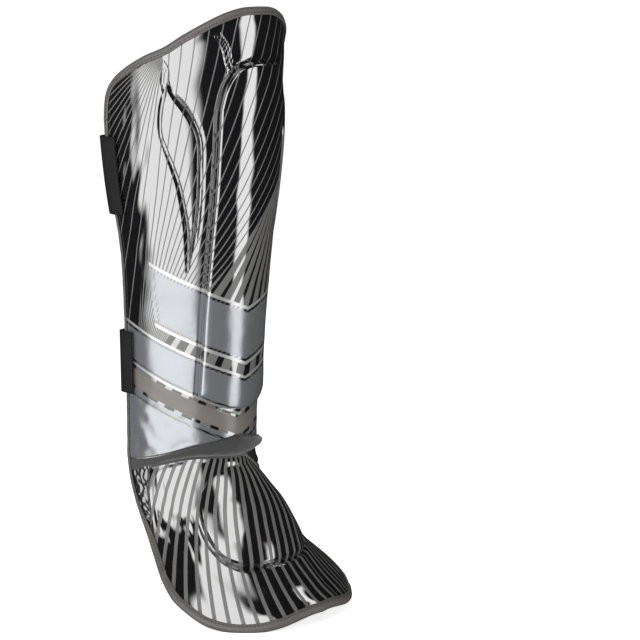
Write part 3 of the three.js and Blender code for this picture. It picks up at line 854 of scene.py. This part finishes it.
def vinyl_finish(bench, ink, silver, pale, taupe, slack):
    """Colour, gloss and surface of the vinyl from the shares of its inks."""
    smear = bench.noise(14.0, 4.0)
    colour = bench.mix(ink, BLACK, INK)
    colour = bench.mix(taupe, colour, TAUPE)
    colour = bench.mix(silver, colour, SILVER)
    colour = bench.mix(pale, colour, PALE)
    scuff = bench.step(bench.noise(55.0, 6.0, 0.7), 0.66, 0.8)
    colour = bench.mix(bench.math("MULTIPLY", scuff, 0.12), colour, grey(0.2))
    bench.set("Base Color", colour)
    gloss = bench.number(smear, 0.05, 0.11)
    rough = bench.number(ink, gloss, 0.42)
    rough = bench.number(taupe, rough, 0.36)
    rough = bench.number(silver, rough, 0.2)
    rough = bench.number(pale, rough, 0.3)
    bench.set("Roughness", bench.math("ADD", rough, bench.math("MULTIPLY", scuff, 0.12)))
    bench.set("Metallic", bench.number(silver, 0.0, 0.7))
    dull = bench.math("MAXIMUM", bench.math("MAXIMUM", ink, taupe),
                      bench.math("MAXIMUM", silver, pale))
    bench.set("Coat Weight", bench.number(dull, 1.0, 0.04))
    grain = bench.noise(900.0, 2.0)
    ripple = bench.noise(slack, 3.0, 0.5)
    height = bench.math("ADD", ripple, bench.math("MULTIPLY", grain, 0.004))
    height = bench.math("ADD", height, bench.math("MULTIPLY", dull, 0.06))
    bench.bump(height, 0.0006, 0.55)
    return bench.material


# %% Bars of the chevrons
CHEVRON_SLOPE = 0.42
FIRST_BAR, SECOND_BAR, TAUPE_BAR, THIRD_BAR = (82.0, 134.0), (36.0, 72.0), (18.0, 33.0), (-80.0, 15.0)
THIRD_KEYLINE = (8.6, 11.0)
FIRST_EDGES, SECOND_EDGES = (2.8, 2.6), (2.4, 2.4)  # width of the pale edge, width of the keyline


def bar(bench, level, low, high, soft=0.25):
    above = bench.step(level, low - soft, low + soft)
    below = bench.step(level, high - soft, high + soft)
    return bench.math("SUBTRACT", above, below)


def any_of(bench, *shares):
    total = shares[0]
    for share in shares[1:]:
        total = bench.math("MAXIMUM", total, share)
    return total


def edges(bench, level, low, high, pale, key):
    """The pale edges of a bar and the keylines inside them."""
    pale_edges = any_of(bench, bar(bench, level, high - pale, high), bar(bench, level, low, low + pale))
    keylines = any_of(bench, bar(bench, level, high - pale - key, high - pale),
                      bar(bench, level, low + pale, low + pale + key))
    return pale_edges, keylines


# %% Print of the shin
FAN_CENTRE, FAN_STEP = (-98.0, 66.0), 2.05
CREASE_CENTRE, CREASE_STEP = (-88.0, 358.0), 4.0
LINE_WIDTH = 1.1
WEDGE_ANGLE = 35.5
WEDGE_CENTRE, WEDGE_STEP = (34.0, 262.0), 4.2


def shin_lines(bench, s, w):
    """Thin lines, and the grey wedge in front, where dark rays leave the ink open."""
    lines, angle = fan(bench, s, w, FAN_CENTRE, FAN_STEP, LINE_WIDTH)
    pulled, pull = fan(bench, s, w, CREASE_CENTRE, CREASE_STEP, LINE_WIDTH)
    left_of_crease = bench.math("MULTIPLY", bench.step(pull, -177.2, -176.8),
                                bench.step(pull, -10.0, -20.0))
    lines = bench.number(left_of_crease, lines, pulled)
    wedge = bench.step(angle, WEDGE_ANGLE - 0.2, WEDGE_ANGLE + 0.2)
    below = bench.math("MULTIPLY", bench.math("SUBTRACT", WEDGE_CENTRE[1], w), 0.042)
    ray_width = bench.math("MAXIMUM", bench.math("SUBTRACT", below, 1.6), 0.0)
    dark, _ = fan(bench, s, w, WEDGE_CENTRE, WEDGE_STEP, ray_width)
    return lines, bench.mix(wedge, lines, bench.math("SUBTRACT", 1.0, dark))


def shin_print():
    bench = Bench("printed_shin_vinyl", Coat_Roughness=0.035, Coat_IOR=2.5)
    s, w = bench.flat()
    lines, ink = shin_lines(bench, s, w)
    reach = bench.math("ABSOLUTE", s)
    level = bench.math("SUBTRACT", w, bench.math("MULTIPLY", reach, CHEVRON_SLOPE))
    inward = bench.math("SUBTRACT", bench.math("MULTIPLY", w, 0.2), reach)
    ended = bench.step(inward, -58.4, -58.0)
    key_end = bench.math("SUBTRACT", bench.step(inward, -55.4, -55.0), bench.step(inward, -53.2, -52.8))
    first = bench.math("MULTIPLY", bar(bench, level, *FIRST_BAR), ended)
    first_pale, first_key = edges(bench, level, *FIRST_BAR, *FIRST_EDGES)
    between = bar(bench, level, FIRST_BAR[0] + FIRST_EDGES[0], FIRST_BAR[1] - FIRST_EDGES[0])
    first_key = bench.math("MAXIMUM", first_key, bench.math("MULTIPLY", key_end, between))
    second = bar(bench, level, *SECOND_BAR)
    second_pale, second_key = edges(bench, level, *SECOND_BAR, *SECOND_EDGES)
    taupe = bar(bench, level, *TAUPE_BAR)
    third = bar(bench, level, *THIRD_BAR)
    pale = bench.math("MAXIMUM", bench.math("MULTIPLY", first_pale, ended), second_pale)
    key = any_of(bench, first_key, second_key, bar(bench, level, *THIRD_KEYLINE))
    bars = any_of(bench, first, second, third)
    silver = bench.math("MULTIPLY", bars, bench.math("SUBTRACT", 1.0, key))
    covered = bench.math("MAXIMUM", bars, taupe)
    uncovered = bench.math("SUBTRACT", 1.0, bench.math("MULTIPLY", covered, 0.999))
    key_lines = bench.math("MULTIPLY", key, bench.math("MULTIPLY", lines, 0.6))
    ink = bench.math("MAXIMUM", bench.math("MULTIPLY", ink, uncovered), key_lines)
    return vinyl_finish(bench, ink, silver, pale, taupe, 60.0)


shin_vinyl = shin_print()

# %% Print of the instep
STRIPE_CENTRE, STRIPE_STEP = (28.0, 100.0), 2.6


def instep_print():
    bench = Bench("printed_instep_vinyl", Coat_Roughness=0.035, Coat_IOR=2.5)
    s, w = bench.flat()
    away = bench.math("SUBTRACT", STRIPE_CENTRE[1], w)
    width = bench.math("ADD", bench.math("MULTIPLY", away, 0.006), 2.0)
    stripes, _ = fan(bench, s, w, STRIPE_CENTRE, STRIPE_STEP, width, 0.2)
    nothing = bench.math("MULTIPLY", stripes, 0.0)
    return vinyl_finish(bench, stripes, nothing, nothing, nothing, 75.0)


instep_vinyl = instep_print()
print("prints:", shin_vinyl.name, instep_vinyl.name)

# %% [markdown]
# ## Cloth, tape, elastic and thread
# The lip is a knitted fabric, the binding a woven tape, the straps ribbed elastic, and the inside a
# brushed lining. Each has its own weave: fine crossed waves from the flat coordinates of the piece,
# mixed with noise so that no two threads look alike.

# %% Woven finishes
def weave(bench, across, up, skew=0.0):
    """Crossed threads: heights from 0 to 1."""
    s, w = bench.flat()
    tilted = bench.math("ADD", s, bench.math("MULTIPLY", w, skew))
    one = bench.math("SINE", bench.math("MULTIPLY", tilted, 2 * math.pi / across))
    two = bench.math("SINE", bench.math("MULTIPLY", w, 2 * math.pi / up))
    return bench.math("ADD", bench.math("MULTIPLY", bench.math("MULTIPLY", one, two), 0.5), 0.5)


def cloth_finish(name, dark, light, across, up, skew, rough, distance, fuzz, **sockets):
    bench = Bench(name, **sockets)
    threads = weave(bench, across, up, skew)
    patch = bench.noise(30.0, 4.0)
    lint = bench.noise(700.0, 3.0, 0.7)
    share = bench.math("ADD", bench.math("MULTIPLY", threads, 0.55),
                       bench.math("MULTIPLY", patch, 0.45))
    colour = bench.mix(share, dark, light)
    wear = bench.math("MULTIPLY", bench.step(lint, 0.62, 0.78), fuzz)
    bench.set("Base Color", bench.mix(wear, colour, grey(light[1] * 1.9)))
    bench.set("Roughness", bench.number(patch, rough - 0.08, rough + 0.08))
    bench.bump(bench.math("ADD", threads, bench.math("MULTIPLY", lint, 0.5)), distance, 0.6)
    return bench.material


lip_cloth = cloth_finish("charcoal_knit", grey(0.010), grey(0.022), 0.9, 0.7, 0.5, 0.82, 0.00012, 0.25,
                         Sheen_Weight=0.25, Sheen_Roughness=0.5)
tape_cloth = cloth_finish("grey_binding_tape", grey(0.035, 0.06), grey(0.085, 0.05),
                          0.8, 0.8, 0.0, 0.5, 0.00008, 0.2)
elastic_cloth = cloth_finish("black_ribbed_elastic", grey(0.004), grey(0.01),
                             1.1, 1.3, 0.0, 0.72, 0.00018, 0.15, Specular_IOR_Level=0.2)
lining_cloth = cloth_finish("brushed_lining", grey(0.012), grey(0.024), 1.6, 1.6, 0.4, 0.9, 0.0002, 0.3,
                            Sheen_Weight=0.4, Sheen_Roughness=0.6)
thread_cloth = cloth_finish("dark_thread", grey(0.008), grey(0.03), 0.5, 0.5, 0.8, 0.6, 0.00005, 0.1)
pale_thread = cloth_finish("grey_thread", grey(0.12), grey(0.26), 0.5, 0.5, 0.8, 0.6, 0.00005, 0.1)


def gusset_finish():
    bench = Bench("crumpled_gusset_vinyl", Coat_Weight=1.0, Coat_Roughness=0.08, Coat_IOR=2.0)
    pleats = bench.noise(320.0, 4.0, 0.6)
    patch = bench.noise(60.0, 3.0)
    bench.set("Base Color", bench.mix(patch, grey(0.008), grey(0.03)))
    bench.set("Roughness", bench.number(pleats, 0.1, 0.3))
    bench.bump(pleats, 0.0008, 0.7)
    return bench.material


gusset_vinyl = gusset_finish()
print("finishes:", [m.name for m in bpy.data.materials if m.use_nodes][-9:])

# %% [markdown]
# ## Dressing the pieces
# Every piece now gets its finish and rides on the one body of the guard, and the solids that the
# pieces stand for are hidden. The flat cuts of the gussets are read from the same curves that shaped
# them.

# %% Finish, ride and replace
def dress(piece, finishes, slot, *nodes):
    for finish in finishes:
        piece.data.materials.append(finish)
    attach(piece, "root")
    if nodes:
        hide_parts(*nodes)


dress(shin_panel, [shin_vinyl, lining_cloth], "printed_vinyl", "shin_shell")
dress(instep_flap, [instep_vinyl, lining_cloth], "printed_vinyl", "instep_shell")
dress(ridge_pad, [shin_vinyl, shin_vinyl], "pad_vinyl", "shin_ridge_pad")
for leaf, node in zip(leaf_pads, ("side_pad_right", "side_pad_left")):
    dress(leaf, [shin_vinyl, shin_vinyl], "pad_vinyl", node)
dress(dome_pad, [instep_vinyl, instep_vinyl], "pad_vinyl", "instep_dome_pad")
dress(ankle_roll, [lip_cloth], "lip_fabric", "ankle_lip")
dress(lip_thread, [thread_cloth], "lip_fabric")
for gusset, node in zip(gussets, ("ankle_gusset_right", "ankle_gusset_left")):
    dress(gusset, [gusset_vinyl, lining_cloth], "gusset_vinyl", node)
dress(binding, [tape_cloth], "binding_tape", "edge_binding")
dress(binding_thread, [thread_cloth], "binding_tape")
dress(upper_strap, [elastic_cloth, elastic_cloth], "elastic_webbing", "calf_strap_upper")
dress(lower_strap, [elastic_cloth, elastic_cloth], "elastic_webbing", "calf_strap_lower")
dress(upper_thread, [pale_thread], "elastic_webbing")
dress(lower_thread, [pale_thread], "elastic_webbing")


CUT_SPARE = 1.18  # the gussets are cut this much wider and longer than the space they fill


def flat_cut(way, tip):
    side = way * np.linspace(tip, 1, 200)
    low, high = flap_seam(side), lip_hem(np.abs(side)) + SEAM_LAP
    length = CUT_SPARE * (1 - tip) * float(girth(-20.0))
    width = CUT_SPARE * (high - low)
    cut = (round(float(width.max()) / 1000, 3), round(length / 1000, 3))
    return cut, float(np.mean(width)) * length / 1e6


for gusset, hand in zip(gussets, ("right", "left")):
    cut, area = flat_cut(*GUSSET_TIPS[hand])
    print(gusset.name, "cut to", cut, "m,", round(area * 1e4, 1), "square cm")

# %% [markdown]
# ## Floor, light and camera
# Gloss black vinyl is drawn by what it reflects. A white room all round would turn it grey, so the
# room is white for the eye and dim for reflections, and soft boxes give the bright bands: a wide
# one on the left, a strip in front, one overhead for the instep and a small one behind.

# %% Floor
FLOOR_LEVEL = -0.1345
FLOOR_SIDES = 96


def floor_piece():
    turns = [2 * math.pi * k / FLOOR_SIDES for k in range(FLOOR_SIDES)]
    points, faces = [(0.0, 0.0, FLOOR_LEVEL)], []
    for radius in (0.6, 2.0, 12.0):
        points += [(radius * math.cos(t), radius * math.sin(t), FLOOR_LEVEL) for t in turns]
    for k in range(FLOOR_SIDES):
        after = (k + 1) % FLOOR_SIDES
        faces.append((0, 1 + k, 1 + after))
        for ring in (0, 1):
            a, b = 1 + ring * FLOOR_SIDES, 1 + (ring + 1) * FLOOR_SIDES
            faces.append((a + k, b + k, b + after, a + after))
    mesh = bpy.data.meshes.new("pale_floor")
    mesh.from_pydata(points, [], faces)
    floor = bpy.data.objects.new("pale_floor", mesh)
    bpy.context.scene.collection.objects.link(floor)
    bench = Bench("pale_floor", Roughness=0.9, Emission_Color=grey(1.0), Emission_Strength=0.7)
    bench.set("Base Color", bench.mix(bench.noise(3.0), grey(0.9), grey(0.94)))
    mesh.materials.append(bench.material)
    floor.visible_glossy = False
    floor.visible_shadow = False
    return floor


floor = floor_piece()

# %% Room and soft boxes
ROOM_SEEN, ROOM_FILL, ROOM_MIRRORED = 1.05, 0.4, 0.012


def room():
    world = bpy.data.worlds.new("white_room")
    bpy.context.scene.world = world
    world.use_nodes = True
    tree = world.node_tree
    back = tree.nodes["Background"]
    ray = tree.nodes.new("ShaderNodeLightPath")
    unseen = tree.nodes.new("ShaderNodeMapRange")
    tree.links.new(ray.outputs["Is Glossy Ray"], unseen.inputs[0])
    unseen.inputs[3].default_value = ROOM_FILL
    unseen.inputs[4].default_value = ROOM_MIRRORED
    level = tree.nodes.new("ShaderNodeMapRange")
    tree.links.new(ray.outputs["Is Camera Ray"], level.inputs[0])
    tree.links.new(unseen.outputs[0], level.inputs[3])
    level.inputs[4].default_value = ROOM_SEEN
    back.inputs[0].default_value = (1.0, 1.0, 1.0, 1.0)
    tree.links.new(level.outputs[0], back.inputs[1])


def feather(light, share):
    """Fade a box of light towards its sides, as the cloth front of a real one does."""
    light.use_nodes = True
    tree = light.node_tree
    spot = tree.nodes.new("ShaderNodeSeparateXYZ")
    tree.links.new(tree.nodes.new("ShaderNodeNewGeometry").outputs["Parametric"], spot.inputs[0])
    level = None
    for axis in (0, 1):
        for low, high in ((0.0, share), (1.0, 1.0 - share)):
            fade = tree.nodes.new("ShaderNodeMapRange")
            fade.interpolation_type = "SMOOTHSTEP"
            tree.links.new(spot.outputs[axis], fade.inputs[0])
            fade.inputs[1].default_value, fade.inputs[2].default_value = low, high
            if level is not None:
                both = tree.nodes.new("ShaderNodeMath")
                both.operation = "MULTIPLY"
                tree.links.new(level, both.inputs[0])
                tree.links.new(fade.outputs[0], both.inputs[1])
                level = both.outputs[0]
            else:
                level = fade.outputs[0]
    tree.links.new(level, tree.nodes["Emission"].inputs["Strength"])


def soft_box(name, azimuth, elevation, distance, width, height, power, target=(0.0, -0.03, 0.12)):
    """A box of light that faces the guard; azimuth 0 is straight in front of the shin."""
    light = bpy.data.lights.new(name, "AREA")
    light.shape = "RECTANGLE"
    feather(light, 0.22)
    light.size, light.size_y, light.energy = width, height, power
    box = bpy.data.objects.new(name, light)
    a, e = math.radians(azimuth), math.radians(elevation)
    way = Vector((math.sin(a) * math.cos(e), -math.cos(a) * math.cos(e), math.sin(e)))
    box.location = Vector(target) + way * distance
    box.rotation_euler = way.to_track_quat("Z", "Y").to_euler()
    box.visible_camera = False
    bpy.context.scene.collection.objects.link(box)
    return box


bpy.context.scene.view_settings.view_transform = "Standard"
room()
soft_box("left_box", -82, 0, 2.2, 4.3, 3.0, 135)
soft_box("front_strip", 22, -4, 2.2, 1.0, 2.6, 28)
soft_box("overhead_box", -52, 50, 2.0, 1.7, 2.2, 38)
soft_box("rear_box", 97, 54, 2.0, 0.7, 0.6, 4)

# %% Camera
CAMERA_AZIMUTH, CAMERA_ELEVATION, CAMERA_DISTANCE = -46.0, 8.5, 2.2
LENS, SENSOR = 140.6, 36.0
CENTRE = Vector((0.0, -0.020, 0.120))
SHIFT_RIGHT, SHIFT_UP = 0.0862, -0.0018

a, e = math.radians(CAMERA_AZIMUTH), math.radians(CAMERA_ELEVATION)
to_eye = Vector((math.sin(a) * math.cos(e), -math.cos(a) * math.cos(e), math.sin(e)))
to_right = Vector((math.cos(a), math.sin(a), 0.0))
to_up = to_eye.cross(to_right)
aim = CENTRE + to_right * SHIFT_RIGHT + to_up * SHIFT_UP
camera_data = bpy.data.cameras.new("camera")
camera_data.lens, camera_data.sensor_width = LENS, SENSOR
camera = bpy.data.objects.new("camera", camera_data)
camera.location = aim + to_eye * CAMERA_DISTANCE
camera.rotation_euler = to_eye.to_track_quat("Z", "Y").to_euler()
bpy.context.scene.collection.objects.link(camera)
bpy.context.scene.camera = camera
print("camera at", [round(v, 3) for v in camera.location])
